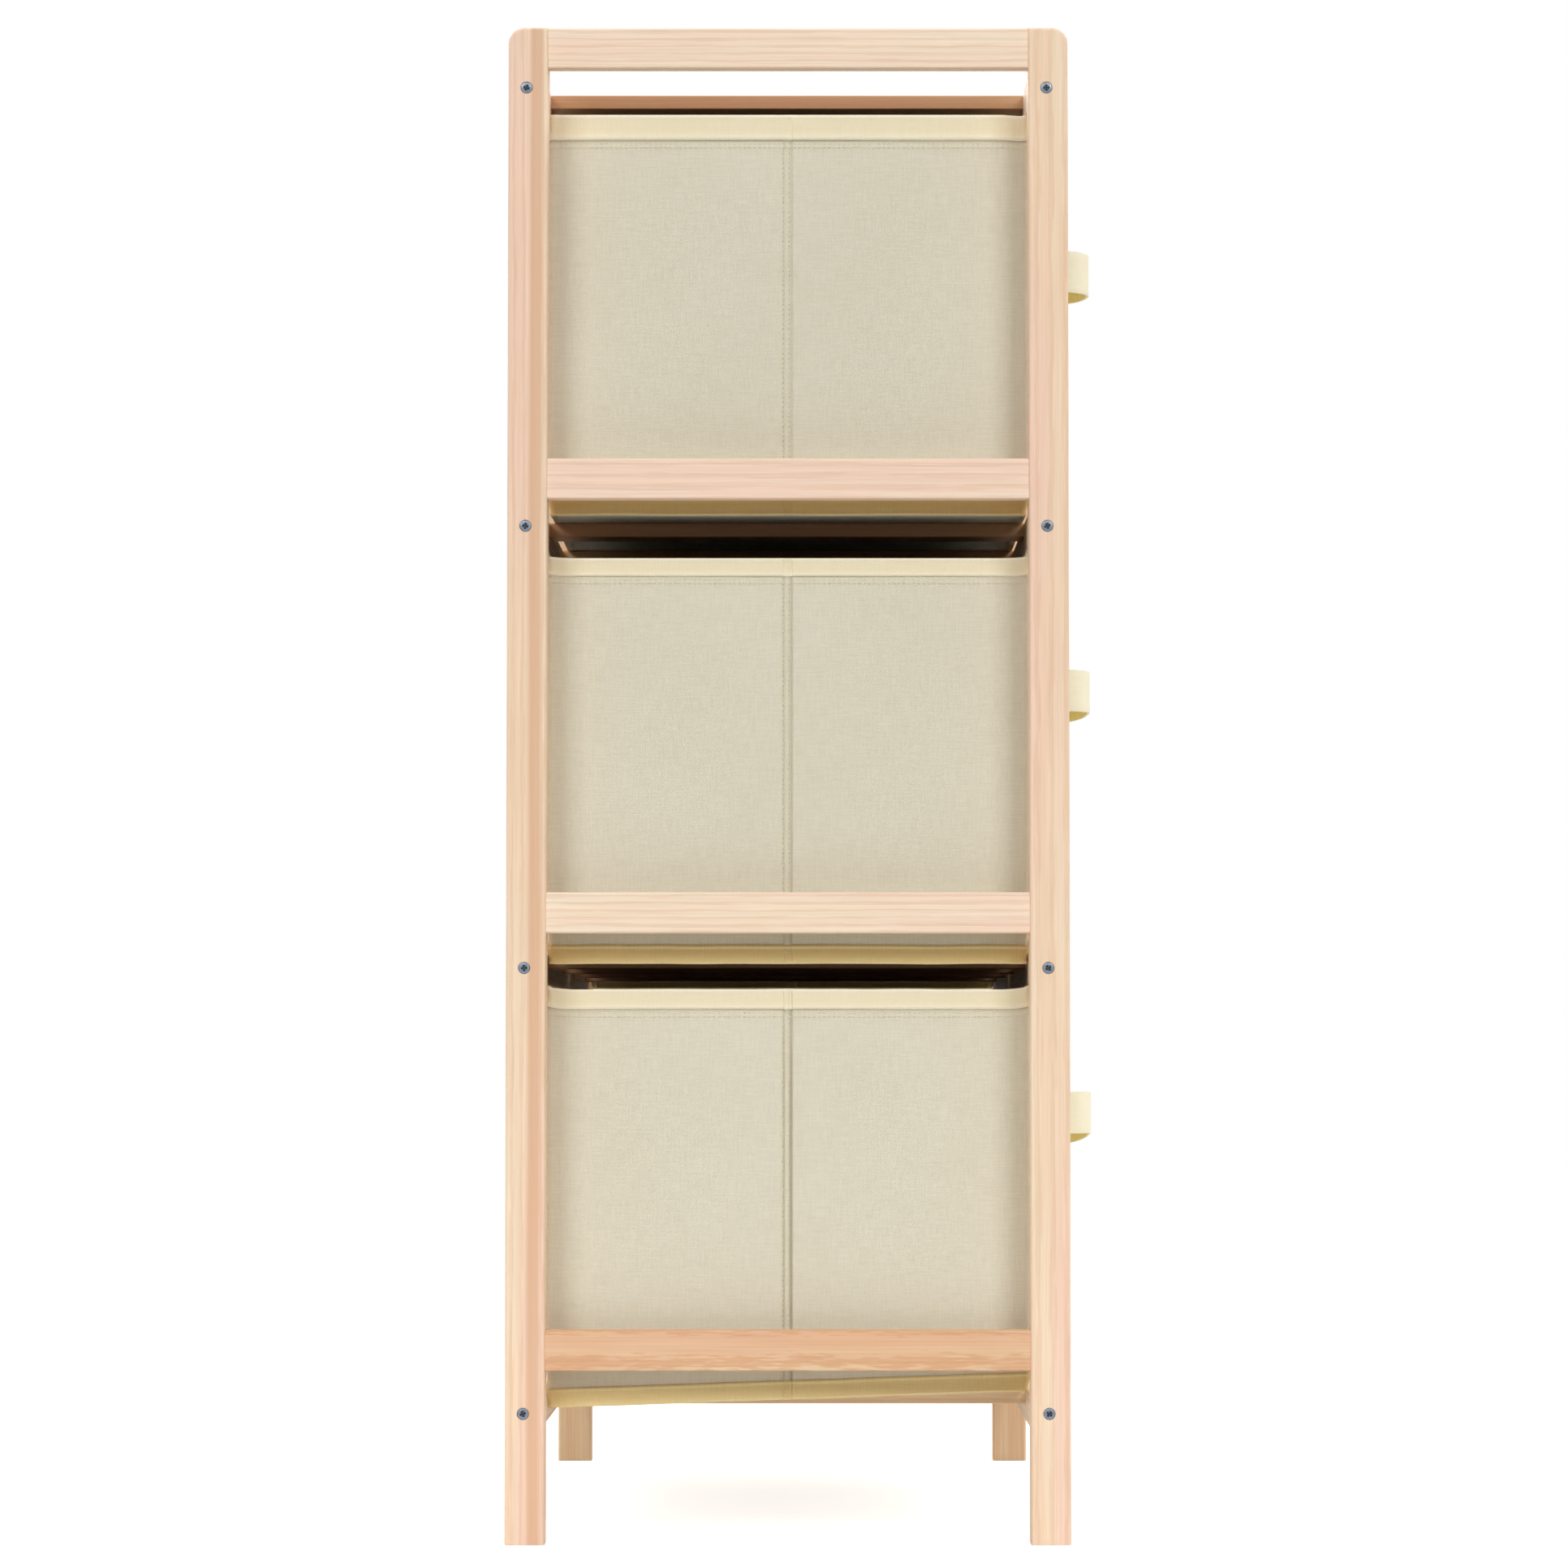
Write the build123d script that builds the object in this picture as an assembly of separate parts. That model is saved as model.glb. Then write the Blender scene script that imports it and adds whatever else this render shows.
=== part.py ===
"""Wooden storage shelf with two columns of three pull-out fabric baskets.

+X is the front, where the baskets pull out. +Y runs along the shelf and +Z is up.
The origin is on the floor, at the middle of the box round the frame and the handles.
All lengths are in millimetres.
"""

import os

from build123d import *

# The frame as a whole
FRAME_HEIGHT = 1040.0
FRAME_DEPTH = 385.5
FRAME_LENGTH = 800.0
COLUMNS = 2
LEVELS = ["bottom", "lower", "upper", "top"]
BASKET_ROWS = ["lower", "middle", "upper"]
COLUMN_NAMES = ["left", "right"]

# Corner posts
POST_DEPTH = 27.3
POST_THICKNESS = 27.0
POST_TOP_RADIUS = 11.0
POST_EDGE_RADIUS = 2.2

# Short rails that join a back post to a front post in each side frame
SIDE_RAIL_HEIGHT = 28.0
SIDE_RAIL_THICKNESS = 12.0
SIDE_RAIL_RECESS = 2.0
LOWEST_SIDE_RAIL_Z = 117.5
SIDE_RAIL_EDGE_RADIUS = 1.4

# Long rails that run from one side frame to the other
LONG_RAIL_HEIGHT = 22.0
LONG_RAIL_DEPTH = 25.0
LOWEST_LONG_RAIL_Z = 77.6
TOP_RAIL_BELOW_TOP = 30.8
LONG_RAIL_EDGE_RADIUS = 1.4

# Short uprights between the long rails, which part the two columns
UPRIGHT_THICKNESS = 25.0
UPRIGHT_EDGE_RADIUS = 1.4

# Slats let into the tops of the long rails
SLAT_WIDTH = 34.0
SLAT_THICKNESS = 9.7
SLAT_INSET = 63.0
SLAT_SEAT = 14.0
SLAT_EDGE_RADIUS = 1.0

# Wood screws
SCREW_HEAD_RADIUS = 4.4
SCREW_SHANK_RADIUS = 2.1
SCREW_LENGTH = 55.0
SCREW_HEAD_DEPTH = 2.4
SCREW_RECESS_RADIUS = 1.3
SCREW_RECESS_DEPTH = 1.6
SLAT_SCREW_HEAD_RADIUS = 3.0
SLAT_SCREW_SHANK_RADIUS = 1.4
SLAT_SCREW_LENGTH = 17.0
SLAT_SCREW_HEAD_DEPTH = 1.7

# Dowels
DOWEL_RADIUS = 4.0
DOWEL_LENGTH = 30.0
DOWEL_SPACING = 14.0
DOWELS_PER_JOINT = 2
UPRIGHT_DOWEL_RADIUS = 3.0
UPRIGHT_DOWEL_LENGTH = 18.0

# Fabric baskets
BASKET_WALL = 3.0
BASKET_CORNER_RADIUS = 4.5
BASKET_TOP_GAP = 3.0
BASKET_SIDE_GAP = 4.5
BASKET_END_GAP = 1.5
BOARD_THICKNESS = 3.0
BOARD_GAP = 1.0

# Strap handles
HANDLE_REACH = 24.7
HANDLE_STRAP_WIDTH = 30.0
HANDLE_THICKNESS = 2.5
HANDLE_HALF_WIDTH = 26.0
HANDLE_TAB = 20.0
HANDLE_ABOVE_BASE = 191.6

# Clearances
FIT = 0.1
SOFT_GAP = 0.3
OVERRUN = 1.0

# Places worked out from the sizes above
FRAME_BACK = -(FRAME_DEPTH + HANDLE_REACH) / 2
FRAME_FRONT = FRAME_BACK + FRAME_DEPTH
BACK_POST_FACE = FRAME_BACK + POST_DEPTH
FRONT_POST_FACE = FRAME_FRONT - POST_DEPTH
INNER_END = FRAME_LENGTH / 2 - POST_THICKNESS
BAY_WIDTH = (2 * INNER_END - (COLUMNS - 1) * UPRIGHT_THICKNESS) / COLUMNS
TOP_LONG_RAIL_Z = FRAME_HEIGHT - TOP_RAIL_BELOW_TOP - LONG_RAIL_HEIGHT
LEVEL_PITCH = (TOP_LONG_RAIL_Z - LOWEST_LONG_RAIL_Z) / (len(LEVELS) - 1)
RAIL_LOWS = [LOWEST_LONG_RAIL_Z + level * LEVEL_PITCH for level in range(len(LEVELS))]
RAIL_TOPS = [low + LONG_RAIL_HEIGHT for low in RAIL_LOWS]
SIDE_RAIL_PITCH = (FRAME_HEIGHT - SIDE_RAIL_HEIGHT - LOWEST_SIDE_RAIL_Z) / (len(LEVELS) - 1)
BASKET_HEIGHT = LEVEL_PITCH - LONG_RAIL_HEIGHT - BASKET_TOP_GAP - SOFT_GAP
BASKET_BACK = BACK_POST_FACE + BASKET_END_GAP
BASKET_FRONT = FRONT_POST_FACE - BASKET_END_GAP
LONG_RAIL_SPANS = {
    "back": (FRAME_BACK, FRAME_BACK + LONG_RAIL_DEPTH),
    "front": (FRONT_POST_FACE, FRONT_POST_FACE + LONG_RAIL_DEPTH),
}
SIDES = {"left": -1, "right": 1}
STRAP_SPAN = (-HANDLE_STRAP_WIDTH / 2, HANDLE_STRAP_WIDTH / 2)

pieces = {}


def middle(span):
    """The middle of a low and a high value."""
    return (span[0] + span[1]) / 2


def block(x_span, y_span, z_span):
    """A box between a low and a high value along each axis."""
    spans = (x_span, y_span, z_span)
    centre = [middle(span) for span in spans]
    size = [span[1] - span[0] for span in spans]
    return Pos(*centre) * Box(*size)


def bar(x_span, y_span, z_span, along, radius):
    """A planed wooden bar whose four long edges are rounded."""
    solid = block(x_span, y_span, z_span)
    return fillet(solid.edges().filter_by(along), radius)


def rod(start, direction, length, radius):
    """A round rod that leaves a point in a direction."""
    base = Plane(origin=start, z_dir=direction)
    return base * Cylinder(radius, length, align=(Align.CENTER, Align.CENTER, Align.MIN))


def screw(head, direction, length, head_radius, shank_radius, head_depth, grow=0.0):
    """A countersunk screw, or the hole for it when it is grown by a clearance."""
    base = Plane(origin=head, z_dir=direction)
    low = (Align.CENTER, Align.CENTER, Align.MIN)
    cone = base * Cone(head_radius + grow, shank_radius + grow, head_depth, align=low)
    return cone + rod(head, direction, length, shank_radius + grow)


def side_span(side, near, far):
    """A span along Y, given by distances in from the outer face of one side frame."""
    values = (side * (FRAME_LENGTH / 2 - near), side * (FRAME_LENGTH / 2 - far))
    return (min(values), max(values))


def bay_spans():
    """The clear width of each column, between side frames and uprights."""
    spans = []
    for column in range(COLUMNS):
        low = -INNER_END + column * (BAY_WIDTH + UPRIGHT_THICKNESS)
        spans.append((low, low + BAY_WIDTH))
    return spans


def slat_spans():
    """Where each slat lies along Y: two in each column."""
    spans = []
    for low, high in bay_spans():
        spans.append((low + SLAT_INSET, low + SLAT_INSET + SLAT_WIDTH))
        spans.append((high - SLAT_INSET - SLAT_WIDTH, high - SLAT_INSET))
    return spans


def side_rail_lows():
    """The underside of each side rail, from the lowest up."""
    return [LOWEST_SIDE_RAIL_Z + level * SIDE_RAIL_PITCH for level in range(len(LEVELS))]


def side_rail_y(side):
    """The thickness of the side rails, set back from the outer face of the posts."""
    return side_span(side, SIDE_RAIL_RECESS, SIDE_RAIL_RECESS + SIDE_RAIL_THICKNESS)


def side_dowels(side, end, grow=0.0):
    """The dowels that join every rail of a side frame to its back or front post."""
    face = BACK_POST_FACE if end == "back" else FRONT_POST_FACE
    start = face - DOWEL_LENGTH / 2 - grow
    y = middle(side_rail_y(side))
    dowels = []
    for low in side_rail_lows():
        lowest = low + (SIDE_RAIL_HEIGHT - (DOWELS_PER_JOINT - 1) * DOWEL_SPACING) / 2
        for number in range(DOWELS_PER_JOINT):
            z = lowest + number * DOWEL_SPACING
            dowels.append(rod((start, y, z), (1, 0, 0), DOWEL_LENGTH + 2 * grow, DOWEL_RADIUS + grow))
    return dowels


def frame_screws(side, end, grow=0.0):
    """The screws through one post into the ends of the long rails."""
    x = middle(LONG_RAIL_SPANS[end])
    y = side * FRAME_LENGTH / 2
    screws = []
    for low in RAIL_LOWS:
        head = (x, y, low + LONG_RAIL_HEIGHT / 2)
        solid = screw(head, (0, -side, 0), SCREW_LENGTH + grow, SCREW_HEAD_RADIUS,
                      SCREW_SHANK_RADIUS, SCREW_HEAD_DEPTH, grow)
        if not grow:
            solid -= rod(head, (0, -side, 0), SCREW_RECESS_DEPTH, SCREW_RECESS_RADIUS)
        screws.append(solid)
    return screws


def slat_screws(level, end, grow=0.0):
    """The short screws that hold the slats of one level down in one long rail."""
    face = BACK_POST_FACE - SLAT_SEAT / 2 if end == "back" else FRONT_POST_FACE + SLAT_SEAT / 2
    screws = []
    for span in slat_spans():
        head = (face, middle(span), RAIL_TOPS[level])
        screws.append(screw(head, (0, 0, -1), SLAT_SCREW_LENGTH + grow, SLAT_SCREW_HEAD_RADIUS,
                            SLAT_SCREW_SHANK_RADIUS, SLAT_SCREW_HEAD_DEPTH, grow))
    return screws


def upright_dowels(end, grow=0.0):
    """The dowels that hold the uprights between two long rails, above and below."""
    x = middle(LONG_RAIL_SPANS[end])
    dowels = []
    for low, high in upright_gaps():
        for z in (low, high):
            for column in range(1, COLUMNS):
                y = -INNER_END + column * (BAY_WIDTH + UPRIGHT_THICKNESS) - UPRIGHT_THICKNESS / 2
                start = (x, y, z - UPRIGHT_DOWEL_LENGTH / 2 - grow)
                length = UPRIGHT_DOWEL_LENGTH + 2 * grow
                dowels.append(rod(start, (0, 0, 1), length, UPRIGHT_DOWEL_RADIUS + grow))
    return dowels


def upright_gaps():
    """The height of each basket row's opening, from one long rail up to the next."""
    return [(RAIL_TOPS[row], RAIL_LOWS[row + 1]) for row in range(len(BASKET_ROWS))]


def cut_all(solid, cutters):
    """A solid with each cutter taken away from it."""
    for cutter in cutters:
        solid = solid - cutter
    return solid


def post(side, end):
    """A corner post with its outer top corner rounded."""
    x_span = (FRAME_BACK, BACK_POST_FACE) if end == "back" else (FRONT_POST_FACE, FRAME_FRONT)
    solid = block(x_span, side_span(side, 0, POST_THICKNESS), (0, FRAME_HEIGHT))
    outer_x = FRAME_BACK if end == "back" else FRAME_FRONT
    top_edges = solid.edges().filter_by(Axis.Y).group_by(Axis.Z)[-1]
    corner = top_edges.sort_by(Axis.X)[0 if outer_x == FRAME_BACK else -1]
    solid = fillet(corner, POST_TOP_RADIUS)
    solid = fillet(solid.edges().filter_by(Axis.Z), POST_EDGE_RADIUS)
    solid = cut_all(solid, side_dowels(side, end, FIT))
    return cut_all(solid, frame_screws(side, end, FIT))


def side_rail(side, level):
    """A short rail between the back and the front post of one side frame."""
    low = side_rail_lows()[level]
    z_span = (low, low + SIDE_RAIL_HEIGHT)
    solid = bar((BACK_POST_FACE, FRONT_POST_FACE), side_rail_y(side), z_span, Axis.X, SIDE_RAIL_EDGE_RADIUS)
    for end in LONG_RAIL_SPANS:
        first = level * DOWELS_PER_JOINT
        dowels = side_dowels(side, end, FIT)[first:first + DOWELS_PER_JOINT]
        solid = cut_all(solid, dowels)
    return solid


def long_rail(end, level):
    """A rail along the back or the front, notched for the slats."""
    x_span = LONG_RAIL_SPANS[end]
    z_span = (RAIL_LOWS[level], RAIL_TOPS[level])
    solid = bar(x_span, (-INNER_END, INNER_END), z_span, Axis.Y, LONG_RAIL_EDGE_RADIUS)
    seat_x = BACK_POST_FACE - SLAT_SEAT if end == "back" else FRONT_POST_FACE + SLAT_SEAT
    seat_span = (seat_x - FIT, x_span[1] + OVERRUN) if end == "back" else (x_span[0] - OVERRUN, seat_x + FIT)
    for low, high in slat_spans():
        notch_z = (RAIL_TOPS[level] - SLAT_THICKNESS, RAIL_TOPS[level] + OVERRUN)
        solid = solid - block(seat_span, (low - FIT, high + FIT), notch_z)
    for side in SIDES.values():
        solid = solid - frame_screws(side, end, FIT)[level]
    solid = cut_all(solid, slat_screws(level, end, FIT))
    return cut_all(solid, upright_dowels(end, FIT))


def slats(level):
    """The slats of one level, let into the long rails and flush with their tops."""
    x_span = (BACK_POST_FACE - SLAT_SEAT, FRONT_POST_FACE + SLAT_SEAT)
    z_span = (RAIL_TOPS[level] - SLAT_THICKNESS, RAIL_TOPS[level])
    screws = slat_screws(level, "back", FIT) + slat_screws(level, "front", FIT)
    solids = []
    for y_span in slat_spans():
        solid = bar(x_span, y_span, z_span, Axis.X, SLAT_EDGE_RADIUS)
        solids.append(cut_all(solid, screws))
    return solids


def upright(end, row, column):
    """A short upright that parts two columns between two long rails."""
    y = -INNER_END + column * (BAY_WIDTH + UPRIGHT_THICKNESS)
    y_span = (y - UPRIGHT_THICKNESS, y)
    solid = bar(LONG_RAIL_SPANS[end], y_span, upright_gaps()[row], Axis.Z, UPRIGHT_EDGE_RADIUS)
    return cut_all(solid, upright_dowels(end, FIT))


def basket_y(column):
    """The width of a basket, with a gap to the frame at each side."""
    low, high = bay_spans()[column]
    return (low + BASKET_SIDE_GAP, high - BASKET_SIDE_GAP)


def basket_base(row):
    """The underside of a basket, just clear of the slats."""
    return RAIL_TOPS[row] + SOFT_GAP


def basket(row, column):
    """A fabric basket: four walls and a floor, open at the top."""
    low_z = basket_base(row)
    y_span = basket_y(column)
    outer = block((BASKET_BACK, BASKET_FRONT), y_span, (low_z, low_z + BASKET_HEIGHT))
    outer = fillet(outer.edges().filter_by(Axis.Z), BASKET_CORNER_RADIUS)
    x_span = (BASKET_BACK + BASKET_WALL, BASKET_FRONT - BASKET_WALL)
    y_span = (y_span[0] + BASKET_WALL, y_span[1] - BASKET_WALL)
    inner = block(x_span, y_span, (low_z + BASKET_WALL, low_z + BASKET_HEIGHT + OVERRUN))
    inner = fillet(inner.edges().filter_by(Axis.Z), BASKET_CORNER_RADIUS - BASKET_WALL)
    return outer - inner


def base_board(row, column):
    """The stiff board that lies on the floor of a basket."""
    low_z = basket_base(row) + BASKET_WALL
    inset = BASKET_WALL + BOARD_GAP
    y_span = (basket_y(column)[0] + inset, basket_y(column)[1] - inset)
    board = block((BASKET_BACK + inset, BASKET_FRONT - inset), y_span, (low_z, low_z + BOARD_THICKNESS))
    return fillet(board.edges().filter_by(Axis.Z), BASKET_CORNER_RADIUS - BASKET_WALL)


def strap_shape(half_width, wall_x, tip_x):
    """The plan of a strap loop, filled in: straight legs and a round end."""
    leg = block((wall_x, tip_x - half_width), (-half_width, half_width), STRAP_SPAN)
    end = Pos(tip_x - half_width, 0, 0) * Cylinder(half_width, HANDLE_STRAP_WIDTH)
    return leg + end


def handle(row, column):
    """A strap handle: a loop that stands out of the basket's front, and its two sewn tabs."""
    wall_x = BASKET_FRONT + SOFT_GAP
    tip_x = FRAME_FRONT + HANDLE_REACH
    inner_half = HANDLE_HALF_WIDTH - HANDLE_THICKNESS
    loop = strap_shape(HANDLE_HALF_WIDTH, wall_x, tip_x)
    loop -= strap_shape(inner_half, wall_x - OVERRUN, tip_x - HANDLE_THICKNESS)
    tab_x = (wall_x, wall_x + HANDLE_THICKNESS)
    for side in SIDES.values():
        ends = sorted((side * inner_half, side * (HANDLE_HALF_WIDTH + HANDLE_TAB)))
        loop += block(tab_x, ends, STRAP_SPAN)
    height = basket_base(row) + HANDLE_ABOVE_BASE
    return Pos(0, middle(basket_y(column)), height) * loop


def make_pieces():
    """Every piece of the shelf, by the name of its node."""
    for side_name, side in SIDES.items():
        for end in LONG_RAIL_SPANS:
            pieces[f"{side_name}_{end}_post"] = [post(side, end)]
        for level, level_name in enumerate(LEVELS):
            pieces[f"{side_name}_side_rail_{level_name}"] = [side_rail(side, level)]
        ends = list(LONG_RAIL_SPANS)
        pieces[f"{side_name}_screws"] = frame_screws(side, ends[0]) + frame_screws(side, ends[1])
        pieces[f"{side_name}_dowels"] = side_dowels(side, ends[0]) + side_dowels(side, ends[1])
    for level, level_name in enumerate(LEVELS):
        for end in LONG_RAIL_SPANS:
            pieces[f"{end}_rail_{level_name}"] = [long_rail(end, level)]
        pieces[f"slats_{level_name}"] = slats(level)
    small_screws = [slat_screws(level, end) for level in range(len(LEVELS)) for end in LONG_RAIL_SPANS]
    pieces["slat_screws"] = sum(small_screws, [])
    pieces["upright_dowels"] = upright_dowels("back") + upright_dowels("front")
    for row, row_name in enumerate(BASKET_ROWS):
        for end in LONG_RAIL_SPANS:
            pieces[f"{end}_upright_{row_name}"] = [upright(end, row, column) for column in range(1, COLUMNS)]
        for column in range(COLUMNS):
            name = f"{row_name}_{COLUMN_NAMES[column]}"
            pieces[f"basket_{name}"] = [basket(row, column)]
            pieces[f"base_board_{name}"] = [base_board(row, column)]
            pieces[f"handle_{name}"] = [handle(row, column)]


make_pieces()
os.makedirs("parts", exist_ok=True)
for node, solids in pieces.items():
    shape = solids[0] if len(solids) == 1 else Compound(children=solids)
    export_step(shape, f"parts/{node}.step")
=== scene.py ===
"""Looks of the wooden storage shelf with fabric baskets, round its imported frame.

Lengths are in metres, in the frame's own axes: +X front, +Y along the shelf, +Z up.
"""

import math

import bmesh
import bpy
from mathutils import Matrix, Vector, noise


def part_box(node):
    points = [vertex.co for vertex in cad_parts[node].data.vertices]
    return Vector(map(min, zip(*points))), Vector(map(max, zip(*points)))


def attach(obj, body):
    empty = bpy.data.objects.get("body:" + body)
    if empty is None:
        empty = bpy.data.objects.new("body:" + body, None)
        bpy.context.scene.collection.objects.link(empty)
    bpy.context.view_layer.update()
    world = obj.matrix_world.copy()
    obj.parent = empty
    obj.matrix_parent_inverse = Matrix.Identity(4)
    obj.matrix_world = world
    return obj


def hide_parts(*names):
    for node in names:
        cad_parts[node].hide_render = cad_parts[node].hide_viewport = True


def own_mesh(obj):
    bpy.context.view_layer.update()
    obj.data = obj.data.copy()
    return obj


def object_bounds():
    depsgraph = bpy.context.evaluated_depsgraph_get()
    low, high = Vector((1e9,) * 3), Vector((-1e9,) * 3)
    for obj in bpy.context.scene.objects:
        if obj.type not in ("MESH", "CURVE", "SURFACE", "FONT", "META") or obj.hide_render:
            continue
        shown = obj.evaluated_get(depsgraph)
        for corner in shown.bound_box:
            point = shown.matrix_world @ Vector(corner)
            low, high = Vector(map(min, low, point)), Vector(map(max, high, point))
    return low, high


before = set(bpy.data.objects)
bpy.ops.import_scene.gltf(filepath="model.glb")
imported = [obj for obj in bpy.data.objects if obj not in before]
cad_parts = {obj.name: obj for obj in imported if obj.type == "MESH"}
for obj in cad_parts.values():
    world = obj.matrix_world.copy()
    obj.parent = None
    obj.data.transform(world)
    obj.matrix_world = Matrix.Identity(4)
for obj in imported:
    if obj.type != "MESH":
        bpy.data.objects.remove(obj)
cad_low, cad_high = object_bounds()

ROWS = ["lower", "middle", "upper"]
LEVELS = ["bottom", "lower", "upper", "top"]
COLUMNS = ["left", "right"]
MM = 0.001

# Wood
BLUSH_SCALE = 34.0
BAND_SCALE = 62.0
RING_SCALE = 62.0
FIBRE_SCALE = 900.0
FIBRE_STRETCH = 0.012
GRAIN_TILT = 0.012
GRAIN_STRETCH = 0.05
WILD_GRAIN_STRETCH = 0.11
LATE_WOOD = 0.22
WILD_LATE_WOOD = 0.75
HEART_LINE = -186.0 * MM
HEART_FADE = (2.5 * MM, 6.0 * MM)
HEART_WANDER = 5.0 * MM
GRAIN_DEPTH = 0.12 * MM

# Basket cloth
WEAVE_DEPTH = 0.22 * MM
WALL = 2.4 * MM
CORNER = 3.5 * MM
CORNER_CUTS = 5
CELL = 13.0 * MM
SIDE_BULGE = 2.6 * MM
END_BULGE = 1.6 * MM
END_SPREAD = 2.0 * MM
RIPPLE = 0.8 * MM
RIPPLE_SCALE = 9
# Painted shade towards the corners of the side walls: how far it reaches, and how dark it is at
# most
CORNER_SHADE_REACH = 26.0 * MM
CORNER_SHADE = 0.12

# Shares of a half width from which a wall's own shape sets in, and shares of the height over
# which the spread of the ends, the lift of the foot and the lift of the rim come or go
WALL_FADE = (0.9, 0.985)
SPREAD_FADE = (0.0, 0.045)
FOOT_FADE = (0.0, 0.06)
RIM_LIFT_FADE = (0.75, 1.0)

# The sewn tuck: millimetres from the middle of a side wall, and how far it stands out there
TUCK_PROFILE = [
    (-5.0, 0.0), (-3.4, -0.2), (-2.8, -1.5), (-1.9, -0.8), (0.4, -0.8),
    (1.3, -1.7), (2.2, -1.6), (3.2, 0.7), (4.2, 0.6), (6.0, 0.0),
]
TUCK_STRENGTH = {"lower": 1.0, "middle": 0.6, "upper": 0.4}

# Soft ridges, each a height, a middle and a width: the painted shade lines of the tuck, the relief
# and the painted shade line of the rim's seam, and the beads of the tapes and the painted highlight
# on the hem's tape. Tuck and seam are in millimetres, from the tuck's middle and below the seam,
# and a tape is 0 to 1 across
TUCK_SHADE_LINES = [(0.8, -2.8, 0.6), (1.0, 1.8, 1.0)]
SEAM_RELIEF = [(0.45, 4.2, 1.6), (-0.5, 0.6, 0.8)]
SEAM_SHADE_LINE = [(1.0, 0.5, 1.1)]
TAPE_BEADS = [(0.75, 0.1, 0.07), (0.525, 0.9, 0.07)]
TAPE_SUNK = 0.3
HEM_PAINTED_HIGHLIGHT = [(0.95, 0.86, 0.06)]

# Where the cloth is cut finer, in millimetres from the tuck's middle and below the rim's seam,
# and the room that the even cuts leave there
TUCK_EXTRA_CUTS = [-2.3, 1.8, 2.7]
TUCK_CLEAR = 7 * MM
SEAM_CUTS = [-1.0, 0.0, 0.6, 1.4, 2.6, 4.2, 5.8, 8.0]
SEAM_MIDDLE = 4 * MM
SEAM_CLEAR = 6 * MM

# Bound edges of the baskets
RIM_HEIGHT = {"lower": 13.6 * MM, "middle": 13.2 * MM, "upper": 17.6 * MM}
RIM_THICKNESS = 3.8 * MM
# How dark the painted shade line along the rim's seam is, row by row
RIM_SEAM_SHADE = {"lower": 0.6, "middle": 0.25, "upper": 0.9}
SIDE_RIM_LIFT = {"lower": -0.2 * MM, "middle": -5.3 * MM, "upper": 0.6 * MM}
END_RIM_LIFT = {"lower": 2.2 * MM, "middle": -3.9 * MM, "upper": 0.8 * MM}
UPPER_FRONT_RIM_DROP = 2.0 * MM
RIM_SIDE_FROM = 6 * MM
RIM_SIDE_FULL = 2 * MM
CORNER_REACH = 14.0 * MM
HEM_HEIGHT = 13.0 * MM
HEM_THICKNESS = 3.0 * MM
HEM_WAVE = 0.35 * MM
# How strong the painted shade on the hem's tape is, row by row
HEM_SHADE_BY_ROW = {"lower": 0.62, "middle": 1.0, "upper": 1.08}
BINDING_PROUD = 0.7 * MM
BINDING_ROUND = 0.9 * MM
BINDING_CORNER_CUTS = (2 * MM, 4 * MM, 7 * MM)
BINDING_CUTS = (0.04, 0.1, 0.16, 0.24, 0.4, 0.62, 0.78, 0.85, 0.9, 0.95)

# How far the hem hangs at the back and the front of a side wall, how much more it hangs at the
# far end of the shelf, and between which distances from the side wall its droop fades out
HEM_DROP_BACK = {"lower": 9.2 * MM, "middle": 8.0 * MM, "upper": 1.0 * MM}
HEM_DROP_FRONT = {"lower": -2.2 * MM, "middle": 8.0 * MM, "upper": 1.0 * MM}
HEM_FAR_EXTRA = {"lower": 0.0, "middle": 7.0 * MM, "upper": 0.0}
HEM_DROOP_FADE = (8 * MM, 50.0 * MM)

# Thread
STITCH_PITCH = 3.4 * MM
STITCH_LENGTH = 2.5 * MM
STITCH_RADIUS = 0.28 * MM
STITCH_PROUD = 0.1 * MM
STITCHES_AT_ONCE = 60
RIM_STITCH_ROWS = (2.6 * MM, 5.2 * MM)
TUCK_STITCH_ROWS = (-3.6 * MM, 0.5 * MM)
TWIST_DEPTH = 0.1 * MM

# Strap handles
STRAP_WIDTH = 30.0 * MM
STRAP_THICKNESS = 2.2 * MM
STRAP_HALF_WIDTH = 24.9 * MM
STRAP_TAB = 20.0 * MM
STRAP_ROUND = 0.7 * MM
STRAP_BENDS = 18
STRAP_CUTS = 5
STRAP_STEPS = 4
STRAP_TURN_LONG = 2.2 * MM
STRAP_TURN_SHORT = 0.8 * MM
STRAP_DROP = {"lower": 11.0 * MM, "middle": 7.5 * MM, "upper": 3.0 * MM}
STRAP_TIP_DROP = 0.6

# Screws
HEAD_SUNK = 0.2 * MM
HEAD_SIDES = 32
HEAD_RADIUS = 4.3 * MM
HEAD_FLAT_RADIUS = 3.75 * MM
HEAD_DOME = 0.25 * MM
HEAD_EDGE = 0.3 * MM
HEAD_ROUND = 0.12 * MM
HEAD_CONE_DEPTH = 1.9 * MM
SHANK_RADIUS = 1.9 * MM
POINT_RADIUS = 0.3 * MM
POINT_LENGTH = 4 * MM
DRIVE_ARM_WIDTH = 1.1 * MM
DRIVE_ARM_LENGTH = 4.3 * MM
DRIVE_DEPTH = 1.4 * MM
DRIVE_TAPER = 0.62
DRIVE_REACH = 0.53 * DRIVE_ARM_LENGTH
FIRST_SCREW_TURN = 0.4
NEXT_SCREW_TURN = 1.3
SCUFF_DEPTH = 0.05 * MM

# Camera, from the photograph's perspective
CAMERA_PLACE = Vector((0.0049, -4.046, 0.3265))
CAMERA_LENS = 122.49
CAMERA_TILT = math.radians(3.042)
CAMERA_SHIFT = (-0.0186, -0.0024)

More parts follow.
